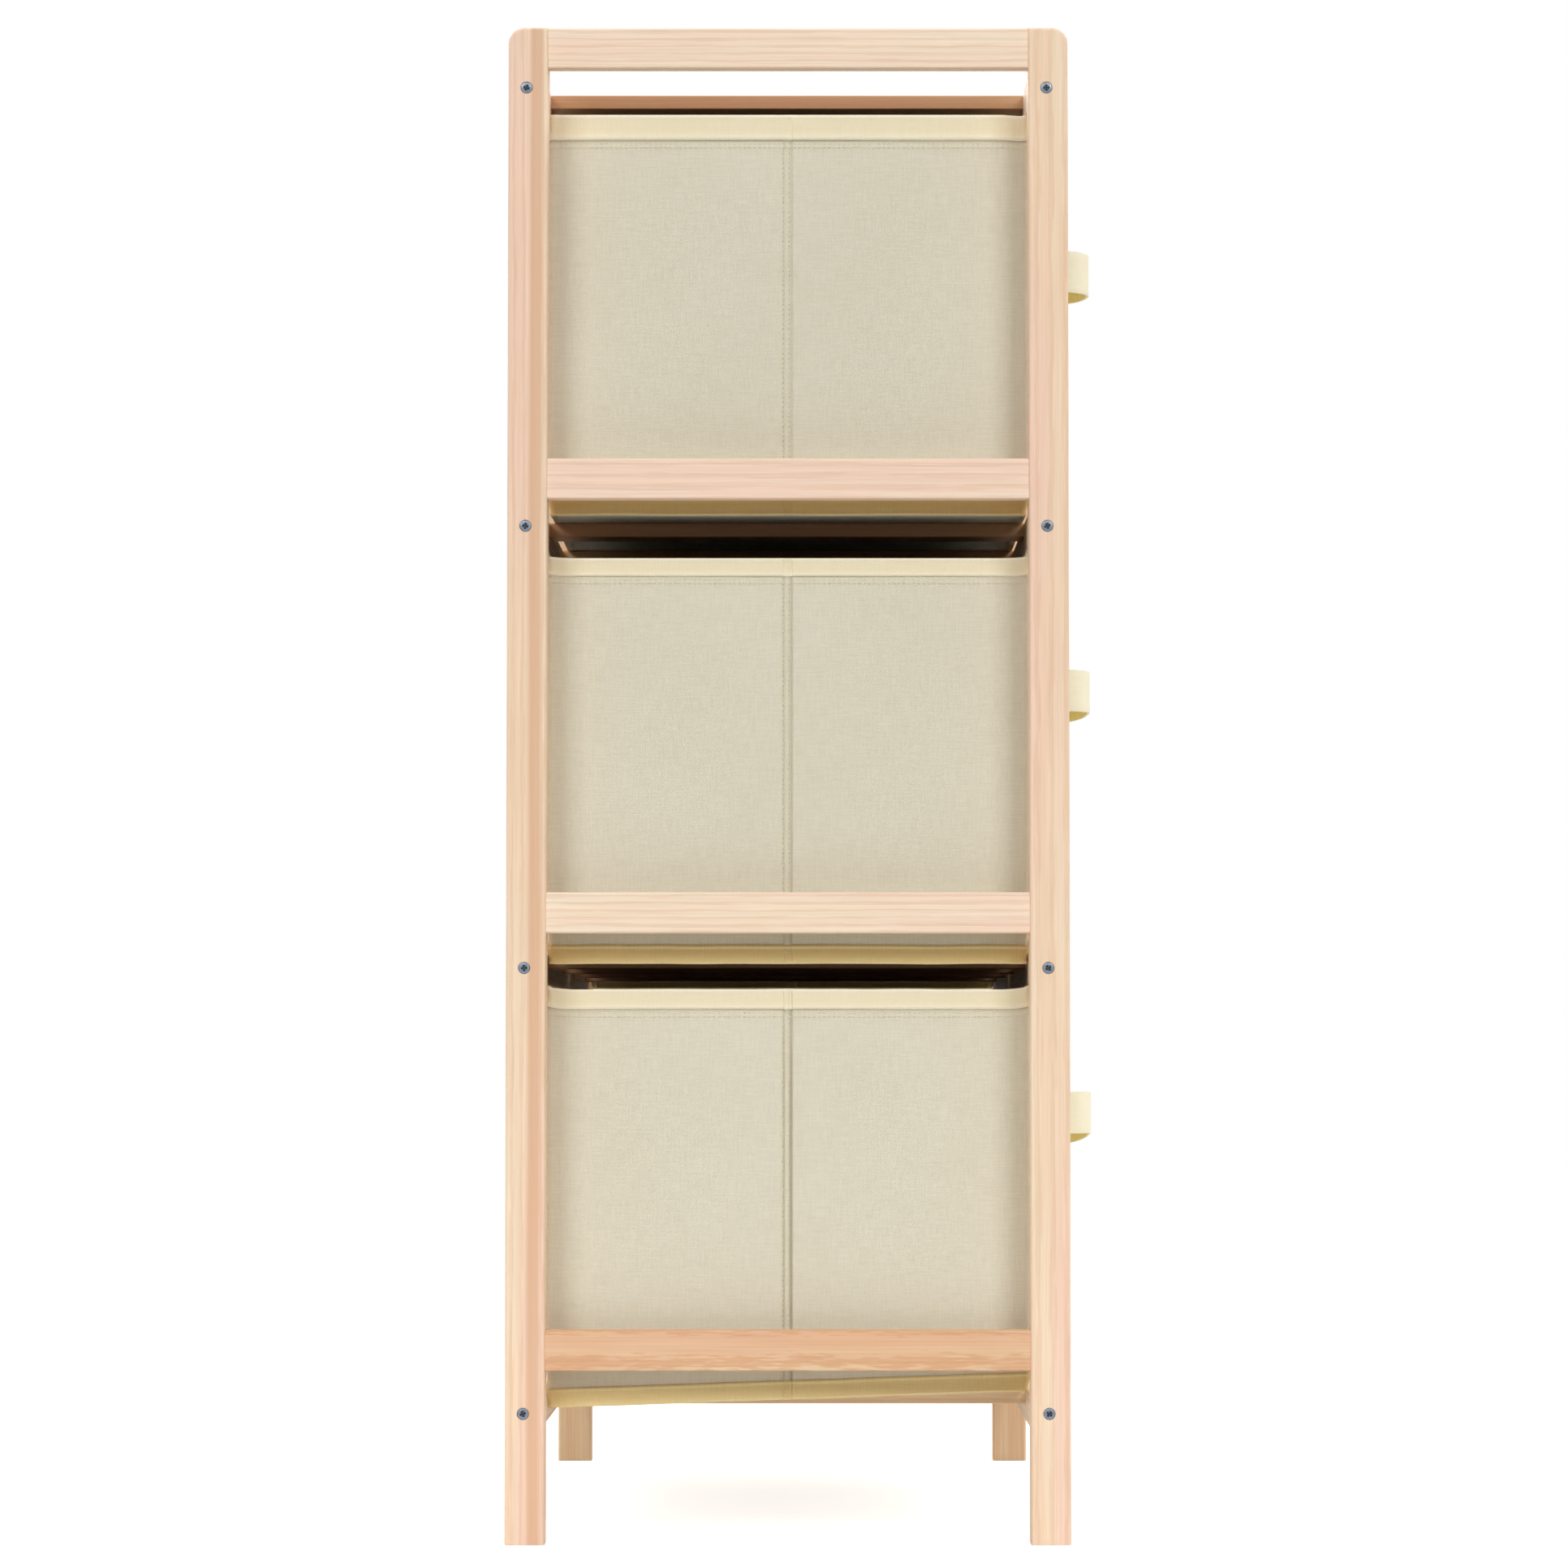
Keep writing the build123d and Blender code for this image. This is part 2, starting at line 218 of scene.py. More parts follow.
# Soft lights: the place, size and power of each, all turned towards one point
LIT_POINT = Vector((0, 0, 0.5))
SOFT_LIGHTS = {
    "right_light": ((3.1, -5.6, 4.1), 2.8, 224.0),
    "left_light": ((-3.1, -5.6, 4.1), 2.8, 197.0),
    "handle_light": ((3.6, 0.8, 1.9), 2.0, 72.0),
    "far_light": ((-1.2, 4.6, 2.8), 2.4, 135.0),
    "back_light": ((-3.6, 0.5, 2.3), 2.0, 48.0),
    "top_light": ((0.0, 0.0, 3.6), 2.2, 20.0),
}

# The light from all round, and the floor, whose colour and glow change with the distance from
# its middle
WORLD_LIGHT = 0.13
FLOOR_HALF_WIDTH = 12.0
FLOOR_BELOW = 0.5 * MM
FLOOR_COLOUR_FADE = (0.8, 2.2)
FLOOR_GLOW_FADE = (0.7, 1.9)
FLOOR_NEAR_GLOW = 0.7


def seen(red, green, blue):
    """A colour as it looks on a screen, 0 to 255, as the linear colour a shader takes."""
    values = []
    for level in (red, green, blue):
        share = level / 255
        values.append(share / 12.92 if share <= 0.04045 else ((share + 0.055) / 1.055) ** 2.4)
    return (*values, 1.0)


def smooth(low, high, value):
    """0 below low, 1 above high, and a soft step between."""
    share = min(1.0, max(0.0, (value - low) / (high - low)))
    return share * share * (3 - 2 * share)


def ridges(rows, value):
    """Soft ridges and grooves added up, each from its height, its middle and its width."""
    return sum(high * math.exp(-((value - middle) / width) ** 2) for high, middle, width in rows)


# Materials


class Nodes:
    """A node tree whose nodes are added one after another."""

    def __init__(self, tree):
        self.tree = tree

    def node(self, kind, inputs=None, **settings):
        """A node with its settings, and plain values in its named inputs."""
        made = self.tree.nodes.new(kind)
        for key, value in settings.items():
            setattr(made, key, value)
        for key, value in (inputs or {}).items():
            made.inputs[key].default_value = value
        return made

    def link(self, source, target):
        """Joins an output to an input."""
        self.tree.links.new(source, target)

    def join(self, source, socket):
        """Gives a socket a plain value, or links a pattern to it."""
        if isinstance(source, (tuple, float, int)):
            socket.default_value = source
        else:
            self.link(source, socket)

    def mapped(self, source, scale, place=(0, 0, 0), turn=(0, 0, 0)):
        """The source coordinates moved, turned and stretched."""
        values = {"Location": place, "Rotation": turn, "Scale": scale}
        mapping = self.node("ShaderNodeMapping", values)
        self.link(source, mapping.inputs["Vector"])
        return mapping.outputs["Vector"]

    def noise(self, vector, scale, detail=2.0, roughness=0.5, distortion=0.0):
        """A cloudy pattern."""
        values = {"Scale": scale, "Detail": detail, "Roughness": roughness,
                  "Distortion": distortion}
        made = self.node("ShaderNodeTexNoise", values)
        self.link(vector, made.inputs["Vector"])
        return made.outputs["Fac"]

    def ramp(self, source, low, high, low_value=0.0, high_value=1.0):
        """A soft step between two levels of a pattern."""
        values = {"From Min": low, "From Max": high, "To Min": low_value, "To Max": high_value}
        made = self.node("ShaderNodeMapRange", values, interpolation_type="SMOOTHSTEP")
        self.link(source, made.inputs["Value"])
        return made.outputs["Result"]

    def mix(self, share, first, second, blend="MIX"):
        """Two colours mixed by a pattern or by a plain share."""
        made = self.node("ShaderNodeMix", data_type="RGBA", blend_type=blend)
        self.join(share, made.inputs[0])
        self.join(first, made.inputs[6])
        self.join(second, made.inputs[7])
        return made.outputs[2]

    def maths(self, operation, first, second):
        """Arithmetic on two patterns, or on a pattern and a plain number."""
        made = self.node("ShaderNodeMath", operation=operation)
        self.join(first, made.inputs[0])
        self.join(second, made.inputs[1])
        return made.outputs[0]

    def split(self, vector):
        """The X, Y and Z of a vector."""
        parts = self.node("ShaderNodeSeparateXYZ")
        self.link(vector, parts.inputs["Vector"])
        return parts.outputs

    def object_coordinates(self):
        """The piece's own coordinates."""
        return self.node("ShaderNodeTexCoord").outputs["Object"]

    def seen_by_camera(self):
        """1 where a thing is seen by the camera, straight, in gloss or through glass, or else 0."""
        path = self.node("ShaderNodeLightPath").outputs
        shown = self.maths("MAXIMUM", path["Is Camera Ray"], path["Is Glossy Ray"])
        return self.maths("MAXIMUM", shown, path["Is Transmission Ray"])


class Finish(Nodes):
    """A material, built up round its own shader."""

    def __init__(self, name):
        self.material = bpy.data.materials.new(name)
        self.material.use_nodes = True
        super().__init__(self.material.node_tree)
        self.shader = self.tree.nodes["Principled BSDF"]
        self.output = self.tree.nodes["Material Output"]

    def plain(self, values):
        """Sets what is the same all over the surface."""
        for key, value in values.items():
            self.shader.inputs[key].default_value = value

    def patterned(self, patterns):
        """Links what changes over the surface."""
        for key, pattern in patterns.items():
            self.link(pattern, self.shader.inputs[key])

    def bump(self, height, distance, strength=1.0):
        """Gives the surface a relief of a pattern, as deep as a distance."""
        made = self.node("ShaderNodeBump", {"Strength": strength, "Distance": distance})
        self.link(height, made.inputs["Height"])
        self.link(made.outputs["Normal"], self.shader.inputs["Normal"])


def planed_wood(name, along, tone, seed, late_share=LATE_WOOD, stretch=GRAIN_STRETCH,
                heart_line=None):
    """Bare planed softwood with its grain along one axis, cut from its own place in the log."""
    pale, warm, pink = tone
    finish = Finish(name)
    coordinates = finish.object_coordinates()
    log_scale = [1.0, 1.0, 1.0]
    log_scale[along] = stretch
    fibre_scale = [1.0, 1.0, 1.0]
    fibre_scale[along] = FIBRE_STRETCH
    place = 0.9 * Vector((math.sin(seed * 1.7), math.sin(seed * 2.3 + 1), math.sin(seed * 3.1 + 2)))
    tilt = [0.0, 0.0, 0.0]
    tilt[(along + 1) % 3] = GRAIN_TILT * math.sin(seed * 5.0)
    log = finish.mapped(coordinates, log_scale, place, tilt)
    fibre = finish.mapped(coordinates, fibre_scale, place, tilt)
    bands = finish.ramp(finish.noise(log, BAND_SCALE, 2.0, 0.55, 0.35), 0.32, 0.68)
    blush = finish.ramp(finish.noise(log, BLUSH_SCALE, 1.0, 0.5, 0.2), 0.42, 0.66)
    ring_values = {"Scale": RING_SCALE, "Distortion": 2.6, "Detail": 2.0, "Detail Scale": 9.0}
    rings = finish.node("ShaderNodeTexWave", ring_values, wave_type="RINGS",
                        rings_direction="XYZ"[along], wave_profile="SIN")
    finish.link(log, rings.inputs["Vector"])
    late_wood = finish.ramp(rings.outputs["Fac"], 0.55, 1.0)
    streaks = finish.noise(fibre, FIBRE_SCALE, 3.0, 0.6)
    colour = finish.mix(bands, pale, warm)
    colour = finish.mix(finish.maths("MULTIPLY", blush, 0.7), colour, pink)
    late_share = finish.maths("MULTIPLY", late_wood, late_share)
    colour = finish.mix(late_share, colour, seen(214, 163, 124))
    if heart_line is not None:
        colour = heart_streak(finish, coordinates, streaks, colour, heart_line)
    grey = finish.ramp(streaks, 0.25, 0.75, 0.93, 1.045)
    shade = finish.node("ShaderNodeCombineColor")
    for socket in ("Red", "Green", "Blue"):
        finish.link(grey, shade.inputs[socket])
    colour = finish.mix(1.0, colour, shade.outputs["Color"], "MULTIPLY")
    finish.patterned({"Base Color": colour,
                      "Roughness": finish.ramp(streaks, 0.2, 0.8, 0.66, 0.54)})
    finish.plain({"Specular IOR Level": 0.3})
    height = finish.maths("ADD", finish.maths("MULTIPLY", late_wood, 0.5), streaks)
    finish.bump(height, GRAIN_DEPTH, 0.5)
    return finish.material


def heart_streak(finish, coordinates, streaks, colour, heart_line):
    """A browner streak of heartwood up a post, which wanders about a line in metres along X."""
    wander = finish.noise(finish.mapped(coordinates, (6.0, 6.0, 2.2)), 1.0, 2.0)
    wander = finish.maths("MULTIPLY", wander, HEART_WANDER)
    line = finish.maths("ADD", heart_line - HEART_WANDER / 2, wander)
    away = finish.maths("SUBTRACT", finish.split(coordinates)["X"], line)
    away = finish.maths("ABSOLUTE", away, 0.0)
    share = finish.ramp(away, *HEART_FADE, 0.9, 0.0)
    share = finish.maths("MULTIPLY", share, finish.ramp(streaks, 0.3, 0.7, 0.7, 1.0))
    return finish.mix(share, colour, seen(222, 178, 144))


def woven_cloth(name, pale, dark, shadow, thread, slub=0.3, sheen=0.15):
    """Plain woven cloth on the piece's own flat pattern, with painted shade: mixed towards its
    shadow colour as far as the piece's shade attribute says.
    """
    finish = Finish(name)
    flat = finish.node("ShaderNodeUVMap", uv_map="cloth").outputs["UV"]
    across, up, _ = finish.split(flat)
    turns = math.tau / thread
    weft = finish.maths("SINE", finish.maths("MULTIPLY", across, turns), 0.0)
    warp = finish.maths("SINE", finish.maths("MULTIPLY", up, turns), 0.0)
    over = finish.maths("MULTIPLY", weft, warp)
    along_yarn = finish.mapped(flat, (60.0, 900.0, 1.0))
    across_yarn = finish.mapped(flat, (900.0, 60.0, 1.0), (3.0, 5.0, 0.0))
    yarns = finish.maths("ADD", finish.noise(along_yarn, 1.0, 3.0, 0.65),
                         finish.noise(across_yarn, 1.0, 3.0, 0.65))
    cloudy = finish.noise(finish.mapped(flat, (9.0, 9.0, 1.0)), 1.0, 2.0)
    cloudy = finish.maths("MULTIPLY", finish.maths("SUBTRACT", cloudy, 0.5), 0.5)
    share = finish.ramp(yarns, 0.75, 1.25, 0.5 - slub, 0.5 + slub)
    share = finish.maths("ADD", share, finish.maths("MULTIPLY", over, 0.08))
    colour = finish.mix(finish.maths("ADD", share, cloudy), pale, dark)
    # Painted shade and painted highlights: the piece's shade attribute mixes the colour towards the
    # shadow colour
    crease = finish.node("ShaderNodeAttribute", attribute_name="crease").outputs["Fac"]
    colour = finish.mix(finish.maths("MULTIPLY", crease, 0.55), colour, shadow)
    finish.patterned({"Base Color": colour})
    finish.plain({"Roughness": 0.9, "Specular IOR Level": 0.15, "Sheen Weight": sheen,
                  "Sheen Roughness": 0.6})
    height = finish.maths("ADD", finish.maths("MULTIPLY", over, 0.5), yarns)
    finish.bump(height, WEAVE_DEPTH, 0.6)
    return finish.material


def sewing_thread(name, colour, shadow):
    """Twisted polyester thread."""
    finish = Finish(name)
    coordinates = finish.object_coordinates()
    twist = finish.noise(finish.mapped(coordinates, (900.0, 900.0, 2400.0)), 1.0, 1.0)
    finish.patterned({"Base Color": finish.mix(finish.ramp(twist, 0.35, 0.65), colour, shadow)})
    finish.plain({"Roughness": 0.55})
    finish.bump(twist, TWIST_DEPTH)
    return finish.material


def zinc(name, bright, dull):
    """Zinc plated steel with a faint blue cast and scuffs from the driver."""
    finish = Finish(name)
    coordinates = finish.object_coordinates()
    blotches = finish.noise(coordinates, 900.0, 3.0, 0.6)
    scuffs = finish.noise(finish.mapped(coordinates, (2600.0, 2600.0, 600.0)), 1.0, 2.0)
    finish.patterned({"Base Color": finish.mix(blotches, bright, dull),
                      "Roughness": finish.ramp(scuffs, 0.3, 0.7, 0.3, 0.5)})
    finish.plain({"Metallic": 0.85})
    finish.bump(scuffs, SCUFF_DEPTH)
    return finish.material


def covered_board(name, pale, dark):
    """A stiff board under a thin nonwoven cover, with its pressed dots."""
    finish = Finish(name)
    coordinates = finish.object_coordinates()
    dots = finish.node("ShaderNodeTexVoronoi", {"Scale": 420.0, "Randomness": 0.15}, feature="F1")
    finish.link(coordinates, dots.inputs["Vector"])
    pressed = finish.ramp(dots.outputs["Distance"], 0.15, 0.4)
    cloudy = finish.noise(coordinates, 40.0, 3.0)
    dotted = finish.maths("MULTIPLY", finish.maths("SUBTRACT", 1.0, pressed), 0.2)
    finish.patterned({"Base Color": finish.mix(dotted, finish.mix(cloudy, pale, dark), dark)})
    finish.plain({"Roughness": 0.85})
    finish.bump(pressed, 0.15 * MM)
    return finish.material


def wear_finish(node, material):
    """A CAD node keeps its mesh and takes a new material."""
    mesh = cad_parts[node].data
    mesh.materials.clear()
    mesh.materials.append(material)


# The pale, warm and pink colour of each tone of wood; the darkest one is painted shade, for the
# slats, and the next darkest is partly painted shade, for the far posts
WOOD_TONES = {
    "pale": (seen(249, 231, 208), seen(246, 221, 194), seen(247, 215, 196)),
    "cream": (seen(245, 222, 190), seen(242, 209, 170), seen(243, 206, 181)),
    "pink": (seen(246, 224, 197), seen(243, 214, 183), seen(245, 208, 188)),
    "amber_and_shade": (seen(231, 203, 167), seen(225, 185, 146), seen(224, 175, 142)),
    "tan_painted_shade": (seen(212, 172, 132), seen(205, 156, 115), seen(203, 148, 113)),
}
# The first word found in a node's name says which axis its grain follows and which tones it has
STOCK = [
    # The slats above the bottom level take the darkest tone as painted shade; the bottom slats take
    # a lighter one
    ("slats_bottom", 0, ["cream"]),
    ("slats", 0, ["tan_painted_shade"]),
    ("dowels", 0, ["amber_and_shade"]),
    ("side_rail_bottom", 0, ["amber_and_shade"]),
    ("side_rail", 0, ["pale"]),
    # The two far posts take a darker, warmer tone than the near ones, as painted shade
    ("right_back_post", 2, ["amber_and_shade"]),
    ("right_front_post", 2, ["amber_and_shade"]),
    ("post", 2, ["pink"]),
    ("upright", 2, ["cream", "pink"]),
    ("rail", 1, ["cream", "pink"]),
]


def dress_wood():
    """Gives every wooden node its own cut of the same kind of wood, in the tone of its board."""
    for number, node in enumerate(sorted(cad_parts)):
        cut = {}
        if "side_rail_bottom" in node:
            cut = {"late_share": WILD_LATE_WOOD, "stretch": WILD_GRAIN_STRETCH}
        if node == "left_back_post":
            cut = {"heart_line": HEART_LINE}
        for word, grain_axis, tones in STOCK:
            if word in node:
                tone = WOOD_TONES[tones[number % len(tones)]]
                wood = planed_wood(f"{node}_wood", grain_axis, tone, number + 1.0, **cut)
                wear_finish(node, wood)
                break


# Mesh helpers


def sleeve(low, high, corner, cuts, floor=False):
    """Four upright walls with rounded corners, open above, cut at places along each axis."""
    bm = bmesh.new()
    bmesh.ops.create_cube(bm, size=1.0)
    bmesh.ops.scale(bm, vec=high - low, verts=bm.verts)
    bmesh.ops.translate(bm, vec=(low + high) / 2, verts=bm.verts)
    bm.normal_update()
    ends = [f for f in bm.faces if f.normal.z > 0.9 or (f.normal.z < -0.9 and not floor)]
    bmesh.ops.delete(bm, geom=ends, context="FACES_ONLY")
    upright = [e for e in bm.edges if abs(e.verts[0].co.z - e.verts[1].co.z) > (high.z - low.z) / 2]
    bmesh.ops.bevel(bm, geom=upright, offset=corner, offset_type="OFFSET", affect="EDGES",
                    segments=CORNER_CUTS, profile=0.5, material=-1)
    for axis, places in enumerate(cuts):
        normal = Vector((0, 0, 0))
        normal[axis] = 1.0
        for place in places:
            everything = bm.verts[:] + bm.edges[:] + bm.faces[:]
            bmesh.ops.bisect_plane(bm, geom=everything, dist=1e-6, plane_co=normal * place,
                                   plane_no=normal)
    bm.normal_update()
    return bm


def drawn_out(bm, edges):
    """Extrudes edges, and gives the new vertices and the new far edges."""
    grown = bmesh.ops.extrude_edge_only(bm, edges=edges)["geom"]
    verts = [g for g in grown if isinstance(g, bmesh.types.BMVert)]
    edges = [g for g in grown if isinstance(g, bmesh.types.BMEdge)]
    return verts, [e for e in edges if all(v in verts for v in e.verts)]


def evenly(low, high, step, margin):
    """Places between two ends, about a step apart."""
    count = max(1, round((high - low - 2 * margin) / step))
    return [low + margin + (high - low - 2 * margin) * i / count for i in range(count + 1)]


def flat_pattern(bm):
    """The cloth's own flat pattern in metres, laid on each face from the side it looks towards."""
    layer = bm.loops.layers.uv.new("cloth")
    for face in bm.faces:
        size = [abs(value) for value in face.normal]
        towards = size.index(max(size))
        for loop in face.loops:
            co = loop.vert.co
            loop[layer].uv = ((co.y, co.z), (co.x, co.z), (co.x, co.y))[towards]


def make_piece(name, bm, materials, body):
    """A new piece from a mesh, which rides on a body."""
    mesh = bpy.data.meshes.new(name)
    bm.to_mesh(mesh)
    bm.free()
    for polygon in mesh.polygons:
        polygon.use_smooth = True
    for material in materials:
        mesh.materials.append(material)
    piece = bpy.data.objects.new(name, mesh)
    bpy.context.scene.collection.objects.link(piece)
    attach(piece, body)
    return piece


def basket_piece(name, basket, bm, materials):
    """A new piece of one basket."""
    return make_piece(f"{name}_{basket.name}", bm, materials, f"basket_{basket.name}")


def thicken(piece, thickness, inner_slot=0, offset=-1.0):
    """Gives a cloth surface its thickness, all inwards at an offset of -1, half each way at 0."""
    wall = piece.modifiers.new("thickness", "SOLIDIFY")
    wall.thickness = thickness
    wall.offset = offset
    wall.use_even_offset = True
    wall.material_offset = inner_slot


def round_edges(piece, width):
    """Rounds the sharp edges of a piece."""
    edges = piece.modifiers.new("rounding", "BEVEL")
    edges.width = width
    edges.segments = 2
    edges.limit_method = "ANGLE"
    edges.angle_limit = math.radians(50)


# Baskets


class Basket:
    """One basket's space, and how its cloth leaves the plain box."""

    def __init__(self, row, column):
        self.row = row
        self.name = f"{row}_{column}"
        self.low, self.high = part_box(f"basket_{self.name}")
        self.middle = (self.low + self.high) / 2
        self.half = (self.high - self.low) / 2
        self.seam = self.high.z - RIM_HEIGHT[row]
        self.seed = ROWS.index(row) * 3.7 + COLUMNS.index(column) * 11.3

    def shares(self, co):
        """Where a point is across the basket, -1 to 1 along X and Y, and 0 to 1 up."""
        across = (co.x - self.middle.x) / self.half.x
        along = (co.y - self.middle.y) / self.half.y
        up = (co.z - self.low.z) / (2 * self.half.z)
        return across, along, up

    def from_corner(self, co):
        """How far a point on a side wall is from the nearer end wall."""
        return self.half.x - abs(co.x - self.middle.x)

    def rim_lift(self, co):
        """How much higher the rim is here than the plain box."""
        from_side = self.half.y - abs(co.y - self.middle.y)
        on_side = 1 - smooth(RIM_SIDE_FULL, RIM_SIDE_FROM, from_side)
        side, end = SIDE_RIM_LIFT[self.row], END_RIM_LIFT[self.row]
        if self.row == "upper":
            side -= UPPER_FRONT_RIM_DROP * smooth(0.9, 1.0, (co.x - self.middle.x) / self.half.x)
        rise = (1 - min(1.0, max(0.0, self.from_corner(co)) / CORNER_REACH)) ** 2
        side += (end - side) * rise
        return end + (side - end) * on_side

    def tuck(self, co):
        """How far the sewn tuck down the middle of a side wall stands out or in."""
        place = (co.x - self.middle.x) / MM
        for (left, left_push), (right, right_push) in zip(TUCK_PROFILE, TUCK_PROFILE[1:]):
            if left <= place < right:
                push = left_push + (right_push - left_push) * (place - left) / (right - left)
                return push * TUCK_STRENGTH[self.row] * MM
        return 0.0

    def rim_seam(self, co):
        """The low ridge where the rim's turned edge is sewn down, just under the binding."""
        return ridges(SEAM_RELIEF, (self.seam - co.z) / MM) * MM

    def crease(self, co):
        """How much painted shade the cloth takes at a point of the plain box: a line along the
        rim's seam and, on the side walls, lines along the tuck and shade towards the corners.
        """
        _, along, _ = self.shares(co)
        dull = RIM_SEAM_SHADE[self.row] * ridges(SEAM_SHADE_LINE, (self.seam - co.z) / MM)
        if abs(along) > 0.98:
            place = (co.x - self.middle.x) / MM
            dull += TUCK_STRENGTH[self.row] * ridges(TUCK_SHADE_LINES, place)
            dull += CORNER_SHADE * (1 - smooth(0.0, CORNER_SHADE_REACH, self.from_corner(co))) ** 2
        return min(1.0, dull)

    def drape(self, co):
        """Moves a point of the plain box to where the cloth is."""
        across, along, up = self.shares(co)
        wall_y = smooth(*WALL_FADE, abs(along))
        wall_x = smooth(*WALL_FADE, abs(across))
        height = max(0.0, math.sin(math.pi * min(1.0, max(0.0, up)))) ** 0.7
        spot = co * RIPPLE_SCALE + Vector((0, 0, self.seed))
        waves = noise.noise(spot) + 0.5 * noise.noise(spot * 2.7)
        ripple = RIPPLE * waves * min(1.0, height * 1.6)
        moved = co.copy()
        moved.x += END_SPREAD * across * smooth(*SPREAD_FADE, up)
        tuck = self.tuck(co) if up < 1.0 else 0.0
        pillow = (1 - across * across) * (0.75 + 0.25 * math.cos(across * math.tau))
        puff = SIDE_BULGE * height * pillow
        side_push = (puff + ripple + tuck + self.rim_seam(co)) * wall_y
        moved.y += math.copysign(side_push, along)
        end_push = END_BULGE * (1 - along * along) * height + ripple + self.rim_seam(co)
        moved.x += math.copysign(end_push * wall_x, across)
        moved.z += self.rim_lift(co) * smooth(*RIM_LIFT_FADE, up)
        return moved

    def hem_drop(self, co):
        """How far the bound bottom edge hangs below the slats here."""
        across, _, _ = self.shares(co)
        back, front = HEM_DROP_BACK[self.row], HEM_DROP_FRONT[self.row]
        drop = back + (front - back) * (across + 1) / 2
        if co.y > (cad_high.y + self.middle.y) / 2:
            drop += HEM_FAR_EXTRA[self.row]
        from_side = self.half.y - abs(co.y - self.middle.y)
        return drop * (1 - smooth(*HEM_DROOP_FADE, from_side))

    def foot_lift(self, co):
        """How far the foot of the wall is raised where the hem below it is raised."""
        _, _, up = self.shares(co)
        return max(0.0, -self.hem_drop(co)) * (1 - smooth(*FOOT_FADE, up))


def cell_places(basket):
    """Where the cloth is cut into cells, closer together along its seams."""
    x_places = evenly(basket.low.x, basket.high.x, CELL, CORNER + 1 * MM)
    x_places = [x for x in x_places if abs(x - basket.middle.x) > TUCK_CLEAR]
    tuck_cuts = [place for place, _ in TUCK_PROFILE] + TUCK_EXTRA_CUTS
    x_places += [basket.middle.x + place * MM for place in tuck_cuts]
    y_places = evenly(basket.low.y, basket.high.y, CELL, CORNER + 1 * MM)
    z_places = evenly(basket.low.z, basket.high.z, CELL, 3 * MM)
    z_places = [z for z in z_places if abs(basket.seam - SEAM_MIDDLE - z) > SEAM_CLEAR]
    z_places += [basket.seam - place * MM for place in SEAM_CUTS]
    return x_places, y_places, z_places


def basket_shell(basket, cloth, lining):
    """The sewn body of a basket: four walls and a floor of stiffened cloth."""
    bm = sleeve(basket.low, basket.high, CORNER, cell_places(basket), floor=True)
    cloth_shade = bm.verts.layers.float.new("crease")
    for vert in bm.verts:
        vert[cloth_shade] = basket.crease(vert.co)
        lift = basket.foot_lift(vert.co)
        vert.co = basket.drape(vert.co)
        vert.co.z += lift
    bm.normal_update()
    flat_pattern(bm)
    shell = basket_piece("cloth", basket, bm, [cloth, lining])
    thicken(shell, WALL, inner_slot=1)
    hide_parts(f"basket_{basket.name}")


def roll(share):
    """How far folded tape stands out across its width: a bead at both edges, flatter between."""
    return (ridges(TAPE_BEADS, share) - TAPE_SUNK) * MM


def rim_tape_shade(share):
    """How much painted shade the rim's tape takes across its width: most in its middle, with a
    painted highlight, the palest, at its two folds.
    """
    return 0.75 * (1 - abs(2 * share - 1) ** 3)


def hem_tape_shade(share):
    """How much painted shade the hem's tape takes across its width, with a painted highlight along
    a folded line near its top.
    """
    return smooth(-0.3, 0.5, share) * (1 - ridges(HEM_PAINTED_HIGHLIGHT, share))


def band(basket, z_low, z_high, shade_across):
    """A band of binding tape round the basket, just proud of its walls, with painted shade across
    its width.
    """
    grow = Vector((BINDING_PROUD, BINDING_PROUD, 0))
    low = Vector((basket.low.x, basket.low.y, z_low)) - grow
    high = Vector((basket.high.x, basket.high.y, z_high)) + grow
    x_places, y_places, _ = cell_places(basket)
    for step in BINDING_CORNER_CUTS:
        x_places += [low.x + CORNER + step, high.x - CORNER - step]
    z_places = [z_low + (z_high - z_low) * share for share in BINDING_CUTS]
    bm = sleeve(low, high, CORNER + BINDING_PROUD, (x_places, y_places, z_places))
    tape_shade = bm.verts.layers.float.new("crease")
    for vert in bm.verts:
        share = (vert.co.z - z_low) / (z_high - z_low)
        outward = Vector((vert.normal.x, vert.normal.y, 0)).normalized()
        vert[tape_shade] = shade_across(share)
        vert.co += outward * roll(share)
    return bm


def finish_band(name, basket, bm, tape, thickness):
    """A binding piece from its shaped band, with the tape's thickness and rounded edges."""
    bm.normal_update()
    flat_pattern(bm)
    piece = basket_piece(name, basket, bm, [tape])
    thicken(piece, thickness)
    round_edges(piece, BINDING_ROUND)
    return piece


def rim_binding(basket, tape):
    """The bound top edge of a basket."""
    bm = band(basket, basket.seam, basket.high.z, rim_tape_shade)
    for vert in bm.verts:
        vert.co = basket.drape(vert.co)
    finish_band("rim_binding", basket, bm, tape, RIM_THICKNESS)


def hem_binding(basket, tape):
    """The bound bottom edge, which hangs below the slats."""
    bottom = basket.low.z
    bm = band(basket, bottom, bottom + HEM_HEIGHT, hem_tape_shade)
    tape_shade = bm.verts.layers.float["crease"]
    for vert in bm.verts:
        # Painted shade on the hem's tape, scaled for each row
        vert[tape_shade] *= HEM_SHADE_BY_ROW[basket.row]
        drop = basket.hem_drop(vert.co)
        vert.co = basket.drape(vert.co)
        vert.co.z -= drop
        vert.co.z += HEM_WAVE * noise.noise(Vector((vert.co.x * 30, vert.co.y * 30, basket.seed)))
    hem = finish_band("hem_binding", basket, bm, tape, HEM_THICKNESS)
    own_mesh(hem)


